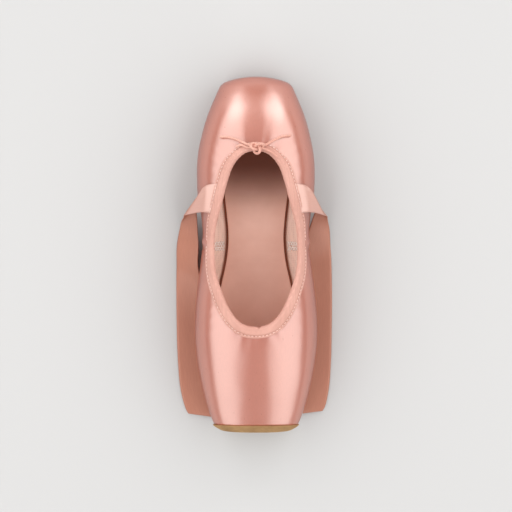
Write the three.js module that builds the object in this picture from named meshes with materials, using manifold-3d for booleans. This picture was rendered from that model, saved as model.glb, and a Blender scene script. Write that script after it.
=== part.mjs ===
// Pointe shoe: one hollow satin upper on a straight last, closed below by a leather outsole and an
// insole board, with a suede toe tip, a rolled collar binding, its drawstring and knot at the heel,
// and two ankle ribbons that lie down beside the shoe.
// Millimetres, +Z up, toe towards -Y and heel towards +Y. The sole stands on z = 0.

import * as THREE from 'three';
import { mergeVertices } from 'three/addons/utils/BufferGeometryUtils.js';
import Module from 'manifold-3d';

const wasm = await Module();
wasm.setup();

// ---------- driving dimensions ----------
const lastLength = 232; // the tables of sections are shares of this
const toeLength = 118.4; // from the middle of the table to the platform
const heelLength = 116.4; // and to the back of the heel
const ballWidth = 81.3;
const instepHeight = 55; // crown of the last over the waist
const gap = 0.3; // clearance between neighbouring pieces

const tipThickness = 0.9; // suede on the platform
const tipDepth = 2.8; // how far the suede wraps back from the platform at the sides
const tipCrownDepth = 5.6; // and over the top
const toeCorner = 2.8; // rounding round the platform
const heelCorner = 5; // rounding round the heel end
const heelBow = 3; // the heel end bows out by this much between its corners
const boxWall = 3; // stiffened toe box
const platformWall = 4; // end wall behind the platform
const heelWall = 1.6; // soft satin and lining at the heel

const outsoleThickness = 2.6;
const outsoleToe = 102; // ends of the outsole, from the middle of the shoe
const outsoleHeel = 110;
const outsoleEnd = 24; // length of its round ends
const edgeBevel = 0.8;
const coreMargin = 5.5; // the raised core stands this far in from the outsole's edge
const archLift = 5;
const toeSpring = 1.9;
const insoleThickness = 2;
const insoleDraw = 0.6; // the board stops this short of the flat inside

const beadHalfWidth = 1.7; // rolled binding, half sizes
const beadHalfHeight = 1.4;
const cordDiameter = 1.5;
const ribbonThickness = 0.6;

const toeFace = -toeLength + tipThickness + gap; // satin at the platform
const heelBack = heelLength;

// Sections of the last, from toe to heel. at: share of the length. width and sole: shares of the
// ball width, at the widest height and at the flat underside. crown and widest: shares of the
// instep height, for the top of the section and for its widest height.
const lastRows = [
  { at: -0.006, width: 0.628, crown: 0.578, widest: 0.318, sole: 0.470 },
  { at: 0.009, width: 0.700, crown: 0.603, widest: 0.318, sole: 0.525 },
  { at: 0.069, width: 0.822, crown: 0.692, widest: 0.318, sole: 0.640 },
  { at: 0.129, width: 0.905, crown: 0.782, widest: 0.324, sole: 0.713 },
  { at: 0.198, width: 0.970, crown: 0.865, widest: 0.327, sole: 0.750 },
  { at: 0.263, width: 1.000, crown: 0.925, widest: 0.336, sole: 0.750 },
  { at: 0.336, width: 0.989, crown: 0.957, widest: 0.355, sole: 0.713 },
  { at: 0.414, width: 0.945, crown: 0.968, widest: 0.373, sole: 0.620 },
  { at: 0.478, width: 0.895, crown: 0.985, widest: 0.396, sole: 0.541 },
  { at: 0.543, width: 0.858, crown: 1.000, widest: 0.410, sole: 0.507 },
  { at: 0.608, width: 0.880, crown: 0.982, widest: 0.405, sole: 0.531 },
  { at: 0.672, width: 0.940, crown: 0.948, widest: 0.387, sole: 0.571 },
  { at: 0.767, width: 0.944, crown: 0.925, widest: 0.360, sole: 0.585 },
  { at: 0.836, width: 0.873, crown: 0.876, widest: 0.320, sole: 0.566 },
  { at: 0.901, width: 0.768, crown: 0.775, widest: 0.273, sole: 0.517 },
  { at: 0.957, width: 0.652, crown: 0.625, widest: 0.225, sole: 0.455 },
  { at: 1.000, width: 0.560, crown: 0.450, widest: 0.190, sole: 0.369 },
];

// Outsole outline before its round ends. width: share of the ball width.
const outsoleRows = [
  { at: 0.060, width: 0.600 },
  { at: 0.240, width: 0.655 },
  { at: 0.400, width: 0.520 },
  { at: 0.550, width: 0.355 },
  { at: 0.700, width: 0.440 },
  { at: 0.840, width: 0.490 },
  { at: 0.974, width: 0.450 },
];

// Collar edge, one side in plan from the heel point round to the throat.
const collarRows = [
  { x: 0, y: 74 },
  { x: 9.5, y: 71.6 },
  { x: 17.3, y: 63.5 },
  { x: 22, y: 51.5 },
  { x: 25.6, y: 37 },
  { x: 29.2, y: 22.5 },
  { x: 30.4, y: 8 },
  { x: 29.8, y: -9 },
  { x: 26.3, y: -21.5 },
  { x: 21.7, y: -32.5 },
  { x: 15, y: -42 },
  { x: 7.8, y: -46.5 },
  { x: 0, y: -47.6 },
];

// ---------- the last ----------
function readTable(rows, column, at) {
  const last = rows.length - 1;
  let i = 0;
  while (i < last - 1 && rows[i + 1].at < at) i += 1;
  const slopeAt = (k) => {
    const before = rows[Math.max(k - 1, 0)];
    const after = rows[Math.min(k + 1, last)];
    return (after[column] - before[column]) / (after.at - before.at);
  };
  const span = rows[i + 1].at - rows[i].at;
  const t = THREE.MathUtils.clamp((at - rows[i].at) / span, 0, 1);
  const rise = rows[i + 1][column] - rows[i][column];
  const ease = t * t * (3 - 2 * t);
  const lead = t * (1 - t) * (1 - t) * slopeAt(i) * span;
  const trail = t * t * (t - 1) * slopeAt(i + 1) * span;
  return rows[i][column] + rise * ease + lead + trail;
}

function shareOfLength(y) {
  return y / lastLength + 0.5;
}

// Underside of the outsole: flat under ball and heel, lifted at the arch, sprung at the toe.
function treadHeight(y) {
  const arch = THREE.MathUtils.clamp((y + 30) / 98, 0, 1);
  const toe = THREE.MathUtils.clamp((-78 - y) / 36, 0, 1);
  return archLift * Math.sin(Math.PI * arch) ** 2 + toeSpring * toe ** 1.5;
}

function upperBase(y) {
  return treadHeight(y) + outsoleThickness + gap;
}

// How far a rounded end draws in at a depth from its face.
function cornerDraw(depth, radius) {
  if (depth >= radius) return 0;
  return radius - Math.sqrt(Math.max(radius ** 2 - (radius - depth) ** 2, 0));
}

function wallAt(y) {
  const share = THREE.MathUtils.smoothstep(y, -70, 60);
  return THREE.MathUtils.lerp(boxWall, heelWall, share);
}

// One section of the last, moved inwards by inset (outwards where it is negative).
function lastSection(y, inset, toeEnd, heelEnd) {
  const at = shareOfLength(y);
  const half = ballWidth / 2;
  const draw = cornerDraw(y - toeEnd, Math.max(toeCorner - inset, 1))
    + cornerDraw(heelEnd - y, Math.max(heelCorner - inset, 1));
  return {
    halfWidth: half * readTable(lastRows, 'width', at) - inset - draw,
    crown: instepHeight * readTable(lastRows, 'crown', at) - inset - draw,
    widest: instepHeight * readTable(lastRows, 'widest', at),
    bottom: upperBase(y) + inset + draw,
    soleHalf: half * readTable(lastRows, 'sole', at) - 0.4 * inset - draw,
    bow: heelBow * THREE.MathUtils.smoothstep(y, 85, heelBack),
  };
}

const topPower = 2.5;
const sidePower = 2.1;
const flatSteps = 2;
const sideSteps = 5;
const topSteps = 11;

// The section's outline as a ring, from the middle of the underside up the +X side and back down.
function sectionRing(y, inset, toeEnd, heelEnd) {
  const s = lastSection(y, inset, toeEnd, heelEnd);
  const half = [];
  for (let i = 0; i < flatSteps; i += 1) {
    half.push([s.soleHalf * i / flatSteps, s.bottom]);
  }
  for (let i = 0; i < sideSteps; i += 1) {
    const turn = Math.PI / 2 * (1 - i / sideSteps);
    const across = Math.cos(turn) ** (2 / sidePower);
    const down = Math.sin(turn) ** (2 / sidePower);
    half.push([
      s.soleHalf + (s.halfWidth - s.soleHalf) * across,
      s.widest - (s.widest - s.bottom) * down,
    ]);
  }
  for (let i = 0; i <= topSteps; i += 1) {
    const turn = Math.PI / 2 * i / topSteps;
    const across = i === topSteps ? 0 : Math.cos(turn) ** (2 / topPower);
    const up = Math.sin(turn) ** (2 / topPower);
    half.push([s.halfWidth * across, s.widest + (s.crown - s.widest) * up]);
  }
  const mirrored = half.slice(1, -1).reverse().map(([x, z]) => [-x, z]);
  return half.concat(mirrored).map(([x, z]) => (
    new THREE.Vector3(x, y - s.bow * (x / s.halfWidth) ** 2, z)
  ));
}

// Height and outward normal of the satin's upper side over a point in plan.
function satinHeight(x, y) {
  const s = lastSection(y, 0, toeFace, heelBack);
  const across = Math.min(Math.abs(x) / s.halfWidth, 1);
  return s.widest + (s.crown - s.widest) * (1 - across ** topPower) ** (1 / topPower);
}

function satinNormal(x, y) {
  const h = 0.2;
  const slopeX = (satinHeight(x + h, y) - satinHeight(x - h, y)) / (2 * h);
  const slopeY = (satinHeight(x, y + h) - satinHeight(x, y - h)) / (2 * h);
  return new THREE.Vector3(-slopeX, -slopeY, 1).normalize();
}

function onSatin(x, y, lift) {
  const point = new THREE.Vector3(x, y, satinHeight(x, y));
  return point.addScaledVector(satinNormal(x, y), lift);
}

// ---------- making solids ----------
// Skins a row of rings with equal counts. A row that isn't a loop is closed by a fan at each end.
function loft(rings, isLoop = false) {
  const count = rings[0].length;
  const points = rings.flat();
  const index = [];
  const spans = isLoop ? rings.length : rings.length - 1;
  for (let i = 0; i < spans; i += 1) {
    const here = i * count;
    const next = ((i + 1) % rings.length) * count;
    for (let j = 0; j < count; j += 1) {
      const k = (j + 1) % count;
      index.push(here + j, here + k, next + k);
      index.push(here + j, next + k, next + j);
    }
  }
  if (!isLoop) {
    const ends = [[0, 1], [rings.length - 1, -1]];
    for (const [ring, side] of ends) {
      const middle = new THREE.Vector3();
      rings[ring].forEach((p) => middle.addScaledVector(p, 1 / count));
      points.push(middle);
      const tip = points.length - 1;
      for (let j = 0; j < count; j += 1) {
        const a = ring * count + j;
        const b = ring * count + (j + 1) % count;
        index.push(...(side > 0 ? [tip, b, a] : [tip, a, b]));
      }
    }
  }
  if (signedVolume(points, index) < 0) index.reverse();
  const geometry = new THREE.BufferGeometry().setFromPoints(points);
  geometry.setIndex(index);
  return geometry;
}

function signedVolume(points, index) {
  const cross = new THREE.Vector3();
  let total = 0;
  for (let i = 0; i < index.length; i += 3) {
    cross.crossVectors(points[index[i + 1]], points[index[i + 2]]);
    total += points[index[i]].dot(cross) / 6;
  }
  return total;
}

function toSolid(geometry) {
  const bare = geometry.clone();
  bare.deleteAttribute('normal');
  bare.deleteAttribute('uv');
  const merged = mergeVertices(bare, 1e-4);
  return new wasm.Manifold(new wasm.Mesh({
    numProp: 3,
    vertProperties: new Float32Array(merged.attributes.position.array),
    triVerts: new Uint32Array(merged.index.array),
  }));
}

function toGeometry(solid) {
  const mesh = solid.getMesh();
  const geometry = new THREE.BufferGeometry();
  geometry.setAttribute('position', new THREE.BufferAttribute(mesh.vertProperties, 3));
  geometry.setIndex(new THREE.BufferAttribute(mesh.triVerts, 1));
  geometry.computeVertexNormals();
  return geometry;
}

// ---------- the last as a closed form ----------
const midSpacing = 8;
const cornerTurns = [0, 0.35, 0.65, 1];

function stations(toeEnd, heelEnd, toeRadius, heelRadius) {
  const places = [];
  cornerTurns.forEach((t) => places.push(toeEnd + toeRadius * (1 - Math.cos(t * Math.PI / 2))));
  const from = toeEnd + toeRadius;
  const to = heelEnd - heelRadius;
  const steps = Math.round((to - from) / midSpacing);
  for (let i = 1; i < steps; i += 1) places.push(from + (to - from) * i / steps);
  [...cornerTurns].reverse().forEach((t) => {
    places.push(heelEnd - heelRadius * (1 - Math.cos(t * Math.PI / 2)));
  });
  return places;
}

function lastForm(insetAt, toeInset) {
  const toeEnd = toeFace + toeInset;
  const heelEnd = heelBack - insetAt(heelBack);
  const toeRadius = Math.max(toeCorner - insetAt(toeFace), 1);
  const heelRadius = Math.max(heelCorner - insetAt(heelBack), 1);
  const places = stations(toeEnd, heelEnd, toeRadius, heelRadius);
  return loft(places.map((y) => sectionRing(y, insetAt(y), toeEnd, heelEnd)));
}

// ---------- collar ----------
const collarSteps = 72;

const collarEdge = (() => {
  const otherSide = collarRows.slice(1, -1).reverse().map(({ x, y }) => ({ x: -x, y }));
  const outline = collarRows.concat(otherSide).map(({ x, y }) => new THREE.Vector3(x, y, 0));
  const curve = new THREE.CatmullRomCurve3(outline, true, 'centripetal');
  const plan = curve.getSpacedPoints(collarSteps).slice(0, collarSteps);
  return plan.map((p) => new THREE.Vector3(p.x, p.y, satinHeight(p.x, p.y)));
})();

// At each point: the outward normal, and the direction in the satin that leads into the opening.
const collarFrames = collarEdge.map((point, i) => {
  const before = collarEdge[(i + collarSteps - 1) % collarSteps];
  const after = collarEdge[(i + 1) % collarSteps];
  const along = after.clone().sub(before).normalize();
  const normal = satinNormal(point.x, point.y);
  const inward = new THREE.Vector3().crossVectors(normal, along).normalize();
  if (inward.x * point.x + inward.y * (point.y - 12) > 0) inward.negate();
  return { point, normal, inward };
});

// Cuts the collar square to the wall all the way round.
function collarCutter() {
  const under = collarFrames.map(({ point, normal }) => point.clone().addScaledVector(normal, -6));
  const over = collarFrames.map(({ point, normal }) => point.clone().addScaledVector(normal, 2));
  const clear = over.map((p) => new THREE.Vector3(p.x, p.y, instepHeight + 20));
  return loft([under, over, clear]);
}

function bindingGeometry() {
  const sides = 8;
  return loft(collarFrames.map(({ point, normal, inward }) => {
    const middle = point.clone()
      .addScaledVector(inward, gap + beadHalfWidth)
      .addScaledVector(normal, -wallAt(point.y) / 2);
    return Array.from({ length: sides }, (_, k) => {
      const turn = 2 * Math.PI * (k + 0.5) / sides;
      return middle.clone()
        .addScaledVector(inward, beadHalfWidth * Math.cos(turn))
        .addScaledVector(normal, beadHalfHeight * Math.sin(turn));
    });
  }), true);
}

// ---------- plates: outsole, its core, insole ----------
// Skins a plate along Y. halfAt gives its half width, lowAt and highAt its two faces.
function plate(places, halfAt, lowAt, highAt, bevel) {
  return loft(places.map((y) => {
    const half = halfAt(y);
    const low = lowAt(y);
    const high = highAt(y);
    const narrow = Math.max(half - bevel, half * 0.5);
    return [
      new THREE.Vector3(-narrow, y, low),
      new THREE.Vector3(0, y, low),
      new THREE.Vector3(narrow, y, low),
      new THREE.Vector3(half, y, (low + high) / 2),
      new THREE.Vector3(half, y, high),
      new THREE.Vector3(0, y, high),
      new THREE.Vector3(-half, y, high),
      new THREE.Vector3(-half, y, (low + high) / 2),
    ];
  }));
}

const endTurns = [0.07, 0.2, 0.36, 0.55, 0.77, 1];

function platePlaces(front, back, end, middleSteps) {
  const places = endTurns.map((t) => front + end * (1 - Math.cos(t * Math.PI / 2)));
  for (let i = 1; i < middleSteps; i += 1) {
    places.push(front + end + (back - front - 2 * end) * i / middleSteps);
  }
  [...endTurns].reverse().forEach((t) => {
    places.push(back - end * (1 - Math.cos(t * Math.PI / 2)));
  });
  return places;
}

// Share of the full width left at y on a plate with round ends.
function roundEnds(y, front, back, end) {
  const depth = Math.min(y - front, back - y, end);
  return Math.sqrt(Math.max(1 - ((end - depth) / end) ** 2, 0));
}

function outsoleHalf(y) {
  const full = ballWidth / 2 * readTable(outsoleRows, 'width', shareOfLength(y));
  return full * roundEnds(y, -outsoleToe, outsoleHeel, outsoleEnd);
}

const coreFront = -outsoleToe + 9;
const coreBack = outsoleHeel - 9;
const coreEnd = 18;

function coreHalf(y) {
  const full = ballWidth / 2 * readTable(outsoleRows, 'width', shareOfLength(y)) - coreMargin;
  return full * roundEnds(y, coreFront, coreBack, coreEnd);
}

function outsoleGeometry() {
  const basePlaces = platePlaces(-outsoleToe, outsoleHeel, outsoleEnd, 20);
  const base = toSolid(plate(
    basePlaces,
    outsoleHalf,
    treadHeight,
    (y) => treadHeight(y) + outsoleThickness,
    edgeBevel,
  ));
  const core = toSolid(plate(
    platePlaces(coreFront, coreBack, coreEnd, 18),
    coreHalf,
    (y) => treadHeight(y) + outsoleThickness / 2,
    (y) => upperBase(y) + wallAt(y),
    0,
  ));
  return toGeometry(base.add(core));
}

// The hole under the upper that the outsole's core fills.
function soleCutter() {
  const places = platePlaces(coreFront, coreBack, coreEnd, 18);
  places[0] -= gap;
  places[places.length - 1] += gap;
  return plate(
    places,
    (y) => coreHalf(THREE.MathUtils.clamp(y, coreFront + 0.1, coreBack - 0.1)) + gap,
    () => -5,
    (y) => upperBase(y) + wallAt(y) + 4,
    0,
  );
}

function insoleGeometry() {
  const front = toeFace + platformWall + 3;
  const back = heelBack - heelWall - heelCorner;
  const end = 16;
  const halfAt = (y) => {
    const s = lastSection(y, wallAt(y), toeFace + platformWall, heelBack - heelWall);
    return (s.soleHalf - insoleDraw) * roundEnds(y, front, back, end);
  };
  const lowAt = (y) => upperBase(y) + wallAt(y) + 2 * gap;
  return plate(
    platePlaces(front, back, end, 20),
    halfAt,
    lowAt,
    (y) => lowAt(y) + insoleThickness,
    0,
  );
}

// ---------- upper and toe tip ----------
function upperGeometry() {
  const outside = toSolid(lastForm(() => 0, 0));
  const inside = toSolid(lastForm(wallAt, platformWall));
  const solid = outside
    .subtract(inside)
    .subtract(toSolid(collarCutter()))
    .subtract(toSolid(soleCutter()));
  return toGeometry(solid);
}

function toeTipGeometry() {
  const outside = toSolid(lastForm(() => -gap - tipThickness, -gap - tipThickness));
  const inside = toSolid(lastForm(() => -gap, -gap));
  // the cut edge of the suede, in side view: straight up the sides, then back over the top
  const edge = new THREE.Shape();
  edge.moveTo(-20, -5);
  edge.lineTo(tipDepth, -5);
  edge.lineTo(tipDepth, 16);
  edge.lineTo(tipCrownDepth, 36);
  edge.lineTo(-20, 36);
  edge.closePath();
  const front = new THREE.ExtrudeGeometry(edge, { depth: ballWidth, bevelEnabled: false });
  front.translate(0, 0, -ballWidth / 2);
  // the drawing's axes are depth and height, and it is pulled along X
  front.applyMatrix4(new THREE.Matrix4().makeBasis(
    new THREE.Vector3(0, 1, 0),
    new THREE.Vector3(0, 0, 1),
    new THREE.Vector3(1, 0, 0),
  ));
  front.translate(0, -toeLength, 0);
  return toGeometry(outside.intersect(toSolid(front)).subtract(inside));
}

// ---------- drawstring ----------
const knotSize = { x: 4.6, y: 3.3, z: 2.3 }; // half sizes
const knotPlace = onSatin(0.6, 72.4, 3.3);

function knotGeometry() {
  const ball = new THREE.SphereGeometry(1, 12, 8);
  ball.scale(knotSize.x, knotSize.y, knotSize.z);
  ball.translate(knotPlace.x, knotPlace.y, knotPlace.z);
  return ball;
}

function cordGeometry(route) {
  const sides = 8;
  const section = new THREE.Shape();
  for (let k = 0; k < sides; k += 1) {
    const turn = 2 * Math.PI * k / sides;
    const x = cordDiameter / 2 * Math.cos(turn);
    const y = cordDiameter / 2 * Math.sin(turn);
    if (k === 0) section.moveTo(x, y);
    else section.lineTo(x, y);
  }
  section.closePath();
  const path = new THREE.CatmullRomCurve3(route);
  const steps = Math.max(4, Math.round(path.getLength() / (2 * cordDiameter)));
  return new THREE.ExtrudeGeometry(section, { steps, extrudePath: path, bevelEnabled: false });
}

// Routes over the satin: plan places, and the lift of the cord's middle over it.
const cordRoutes = {
  drawstring_end_left: [
    { x: -4.5, y: 73.6, lift: 3.2 },
    { x: -8, y: 75.2, lift: 2.2 },
    { x: -13, y: 77.4, lift: 1.2 },
    { x: -18, y: 78.6, lift: 1.15 },
    { x: -23.2, y: 78.4, lift: 1.15 },
  ],
  drawstring_end_right: [
    { x: 5.7, y: 73.6, lift: 3.2 },
    { x: 9, y: 75.4, lift: 2.2 },
    { x: 13, y: 77.6, lift: 1.2 },
    { x: 17.5, y: 79.2, lift: 1.15 },
    { x: 22, y: 79.4, lift: 1.15 },
  ],
  drawstring_lead_left: [
    { x: -12.6, y: 72.4, lift: 1.6 },
    { x: -9.4, y: 73.6, lift: 1.8 },
    { x: -5, y: 72.2, lift: 2.2 },
  ],
  drawstring_lead_right: [
    { x: 13.2, y: 66.2, lift: 1.8 },
    { x: 10, y: 69, lift: 2.1 },
    { x: 6.2, y: 71, lift: 2.5 },
  ],
};

// ---------- ribbons ----------
// One row for each section or fold of a ribbon on the +X side, from the collar to the cut end.
// a: the edge that starts nearest the heel. b: the edge that starts nearest the toe.
const leftRibbonRows = [
  { a: [27.6, 48.6, 46.6], b: [29.6, 29.6, 45.0] },
  { a: [31.6, 47.8, 44.6], b: [35.0, 29.8, 41.6] },
  { a: [35.0, 45.0, 41.6], b: [46.0, 26.0, 24.0] }, // diagonal fold
  { a: [39.6, 33.0, 27.0], b: [48.2, 23.4, 14.0] },
  { a: [38.8, 22.0, 18.0], b: [50.4, 18.0, 4.2] },
  { a: [38.4, 9.0, 15.4], b: [52.3, 8.0, 2.0] },
  { a: [38.6, -8.0, 12.6], b: [53.2, -8.0, 1.7] },
  { a: [35.6, -26.0, 5.4], b: [53.4, -26.0, 1.6] },
  { a: [34.6, -46.0, 2.4], b: [53.4, -46.0, 1.6] },
  { a: [33.4, -72.0, 2.0], b: [52.8, -72.0, 1.6] },
  { a: [31.2, -96.0, 2.0], b: [50.8, -95.0, 1.6] },
  { a: [29.6, -111.4, 1.8], b: [47.4, -108.0, 1.6] },
  { a: [29.2, -113.4, 1.1], b: [45.8, -111.0, 1.0] }, // turn under
  { a: [29.6, -111.4, 0.4], b: [47.4, -108.0, 0.4] },
  { a: [31.2, -96.0, 0.4], b: [50.8, -95.0, 0.4] },
  { a: [33.4, -72.0, 0.4], b: [52.8, -72.0, 0.4] },
  { a: [34.6, -46.0, 0.4], b: [53.4, -46.0, 0.4] },
  { a: [35.4, -22.0, 0.4], b: [53.4, -22.0, 0.4] },
];

const rightRibbonRows = [
  { a: [27.6, 48.6, 46.6], b: [29.6, 29.6, 45.0] },
  { a: [31.6, 47.8, 44.6], b: [35.0, 29.8, 41.6] },
  { a: [35.0, 45.0, 41.6], b: [45.0, 26.0, 24.0] }, // diagonal fold
  { a: [39.4, 33.0, 25.0], b: [47.2, 23.4, 12.0] },
  { a: [37.4, 22.0, 13.4], b: [48.6, 16.0, 3.6] },
  { a: [33.6, 9.0, 5.4], b: [49.8, 4.0, 1.8] },
  { a: [31.2, -8.0, 2.4], b: [50.6, -10.0, 1.6] },
  { a: [31.6, -28.0, 1.8], b: [51.0, -28.0, 1.6] },
  { a: [31.6, -50.0, 1.8], b: [51.0, -50.0, 1.6] },
  { a: [31.2, -74.0, 1.8], b: [50.6, -74.0, 1.6] },
  { a: [29.8, -95.0, 1.8], b: [49.2, -94.0, 1.6] },
  { a: [28.8, -109.4, 1.8], b: [46.6, -106.4, 1.6] },
  { a: [28.4, -111.4, 1.1], b: [45.0, -109.2, 1.0] }, // turn under
  { a: [28.8, -109.4, 0.4], b: [46.6, -106.4, 0.4] },
  { a: [29.8, -95.0, 0.4], b: [49.2, -94.0, 0.4] },
  { a: [31.2, -74.0, 0.4], b: [50.6, -74.0, 0.4] },
  { a: [31.6, -50.0, 0.4], b: [51.0, -50.0, 0.4] },
  { a: [31.6, -24.0, 0.4], b: [51.0, -24.0, 0.4] },
];

function ribbonGeometry(rows, side) {
  const edge = (key) => new THREE.CatmullRomCurve3(
    rows.map((row) => new THREE.Vector3(side * row[key][0], row[key][1], row[key][2])),
    false,
    'centripetal',
  );
  const heelEdge = edge('a');
  const toeEdge = edge('b');
  const stepsPerRow = 3;
  const steps = (rows.length - 1) * stepsPerRow;
  const sections = [];
  for (let i = 0; i <= steps; i += 1) {
    const a = heelEdge.getPoint(i / steps);
    const b = toeEdge.getPoint(i / steps);
    const middle = a.clone().add(b).multiplyScalar(0.5);
    const ahead = heelEdge.getTangent(i / steps).add(toeEdge.getTangent(i / steps)).normalize();
    const face = new THREE.Vector3().crossVectors(ahead, b.clone().sub(a)).normalize();
    const lift = face.multiplyScalar(ribbonThickness / 2);
    sections.push([
      a.clone().add(lift),
      middle.clone().add(lift),
      b.clone().add(lift),
      b.clone().sub(lift),
      middle.clone().sub(lift),
      a.clone().sub(lift),
    ]);
  }
  return loft(sections);
}

// ---------- the assembly ----------
const satin = { color: 0xdc9c86, roughness: 0.42, metalness: 0 };
const finishes = {
  upper: satin,
  outsole: { color: 0xb98f68, roughness: 0.7, metalness: 0 },
  insole: { color: 0xbe826e, roughness: 0.75, metalness: 0 },
  toe_tip: { color: 0xa07d50, roughness: 0.9, metalness: 0 },
  collar_binding: { color: 0xf0bcaa, roughness: 0.6, metalness: 0 },
  drawstring: { color: 0xeeb8a4, roughness: 0.7, metalness: 0 },
  ribbon: { color: 0xe6c8bc, roughness: 0.4, metalness: 0 },
};

const shoe = new THREE.Group();

function addPiece(name, geometry, finish) {
  const mesh = new THREE.Mesh(geometry, new THREE.MeshStandardMaterial(finish));
  mesh.name = name;
  shoe.add(mesh);
}

addPiece('upper', upperGeometry(), finishes.upper);
addPiece('outsole', outsoleGeometry(), finishes.outsole);
addPiece('insole', insoleGeometry(), finishes.insole);
addPiece('toe_tip', toeTipGeometry(), finishes.toe_tip);
addPiece('collar_binding', bindingGeometry(), finishes.collar_binding);
addPiece('drawstring_knot', knotGeometry(), finishes.drawstring);
for (const [name, places] of Object.entries(cordRoutes)) {
  const route = places.map(({ x, y, lift }) => onSatin(x, y, lift));
  addPiece(name, cordGeometry(route), finishes.drawstring);
}
addPiece('ribbon_left', ribbonGeometry(leftRibbonRows, -1), finishes.ribbon);
addPiece('ribbon_right', ribbonGeometry(rightRibbonRows, 1), finishes.ribbon);

export default shoe;
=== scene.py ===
import math

import bpy
import numpy as np
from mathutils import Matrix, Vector, noise


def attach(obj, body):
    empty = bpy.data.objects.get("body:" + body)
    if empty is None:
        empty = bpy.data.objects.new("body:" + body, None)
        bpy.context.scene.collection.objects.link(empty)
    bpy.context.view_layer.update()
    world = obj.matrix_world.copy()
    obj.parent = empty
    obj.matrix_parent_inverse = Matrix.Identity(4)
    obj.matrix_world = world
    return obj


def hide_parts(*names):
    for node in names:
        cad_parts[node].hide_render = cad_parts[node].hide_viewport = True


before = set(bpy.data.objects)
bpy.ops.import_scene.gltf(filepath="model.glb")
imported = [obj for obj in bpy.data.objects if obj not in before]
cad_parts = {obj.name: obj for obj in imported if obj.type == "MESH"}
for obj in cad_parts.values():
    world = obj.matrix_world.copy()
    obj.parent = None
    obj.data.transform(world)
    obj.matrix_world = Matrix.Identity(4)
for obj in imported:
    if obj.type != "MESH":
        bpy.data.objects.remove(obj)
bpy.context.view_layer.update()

mm = 0.001
print("frame loaded:", len(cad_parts), "parts")

# the last: driving sizes in millimetres
last = {
    "length": 232.0,
    "ballWidth": 81.3,
    "instepHeight": 55.0,
    "toeFace": -117.2,       # satin at the platform
    "heelBack": 116.4,
    "toeCorner": 2.8,        # rounding round the platform
    "heelCorner": 5.0,       # rounding round the heel end
    "heelBow": 3.0,          # the heel end bows out between its corners
    "boxWall": 3.0,
    "platformWall": 4.0,
    "heelWall": 1.6,
    "wallFrom": -70.0,       # the wall thins from here
    "wallTo": 60.0,          # to here
    "topPower": 2.5,         # squareness of the section above its widest height
    "sidePower": 2.1,        # and below it
}
soleSizes = {
    "thickness": 2.6,
    "toe": -102.0,
    "heel": 110.0,
    "roundEnd": 24.0,
    "archFrom": -30.0,
    "archLong": 98.0,
    "archLift": 5.0,
    "springFrom": -78.0,
    "springLong": 36.0,
    "toeSpring": 1.9,
    "gap": 0.3,
}

# shares of the length, of the ball width and of the instep height, from toe to heel
lastRows = {
    "at":     [-0.006, 0.009, 0.069, 0.129, 0.198, 0.263, 0.336, 0.414, 0.478,
               0.543, 0.608, 0.672, 0.767, 0.836, 0.901, 0.957, 1.000],
    "width":  [0.628, 0.700, 0.822, 0.905, 0.970, 1.000, 0.989, 0.945, 0.895,
               0.858, 0.880, 0.940, 0.944, 0.873, 0.768, 0.652, 0.560],
    "crown":  [0.578, 0.603, 0.692, 0.782, 0.865, 0.925, 0.957, 0.968, 0.985,
               1.000, 0.982, 0.948, 0.925, 0.876, 0.775, 0.625, 0.450],
    "widest": [0.318, 0.318, 0.318, 0.324, 0.327, 0.336, 0.355, 0.373, 0.396,
               0.410, 0.405, 0.387, 0.360, 0.320, 0.273, 0.225, 0.190],
    "sole":   [0.470, 0.525, 0.640, 0.713, 0.750, 0.750, 0.713, 0.620, 0.541,
               0.507, 0.531, 0.571, 0.585, 0.566, 0.517, 0.455, 0.369],
}
outsoleRows = {
    "at":    [0.060, 0.240, 0.400, 0.550, 0.700, 0.840, 0.974],
    "width": [0.600, 0.655, 0.520, 0.355, 0.440, 0.490, 0.450],
}
# one side of the collar edge in plan, from the heel point to the throat
collarRows = {
    "x": [0, 9.5, 17.3, 22, 25.6, 29.2, 30.4, 29.8, 26.3, 21.7, 15, 7.8, 0],
    "y": [74, 71.6, 63.5, 51.5, 37, 22.5, 8, -9, -21.5, -32.5, -42, -46.5, -47.6],
}


def readTable(rows, column, at):
    places = np.array(rows["at"])
    values = np.array(rows[column])
    before = np.maximum(np.arange(len(places)) - 1, 0)
    after = np.minimum(np.arange(len(places)) + 1, len(places) - 1)
    slopes = (values[after] - values[before]) / (places[after] - places[before])
    at = np.asarray(at, float)
    i = np.clip(np.searchsorted(places, at) - 1, 0, len(places) - 2)
    span = places[i + 1] - places[i]
    t = np.clip((at - places[i]) / span, 0, 1)
    ease = t * t * (3 - 2 * t)
    lead = t * (1 - t) ** 2 * slopes[i] * span
    trail = t * t * (t - 1) * slopes[i + 1] * span
    return values[i] + (values[i + 1] - values[i]) * ease + lead + trail


def smoothStep(value, low, high):
    t = np.clip((np.asarray(value, float) - low) / (high - low), 0, 1)
    return t * t * (3 - 2 * t)


def bell(value, middle, width):
    return np.exp(-((np.asarray(value, float) - middle) / width) ** 2)


def treadHeight(y):
    arch = np.clip((y - soleSizes["archFrom"]) / soleSizes["archLong"], 0, 1)
    toe = np.clip((soleSizes["springFrom"] - y) / soleSizes["springLong"], 0, 1)
    return soleSizes["archLift"] * np.sin(np.pi * arch) ** 2 + soleSizes["toeSpring"] * toe ** 1.5


def upperBase(y):
    return treadHeight(y) + soleSizes["thickness"] + soleSizes["gap"]


def wallAt(y):
    share = smoothStep(y, last["wallFrom"], last["wallTo"])
    return last["boxWall"] + (last["heelWall"] - last["boxWall"]) * share


def cornerDraw(depth, radius):
    short = np.clip(radius - depth, 0, radius)
    return radius - np.sqrt(np.maximum(radius ** 2 - short ** 2, 0))


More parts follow.
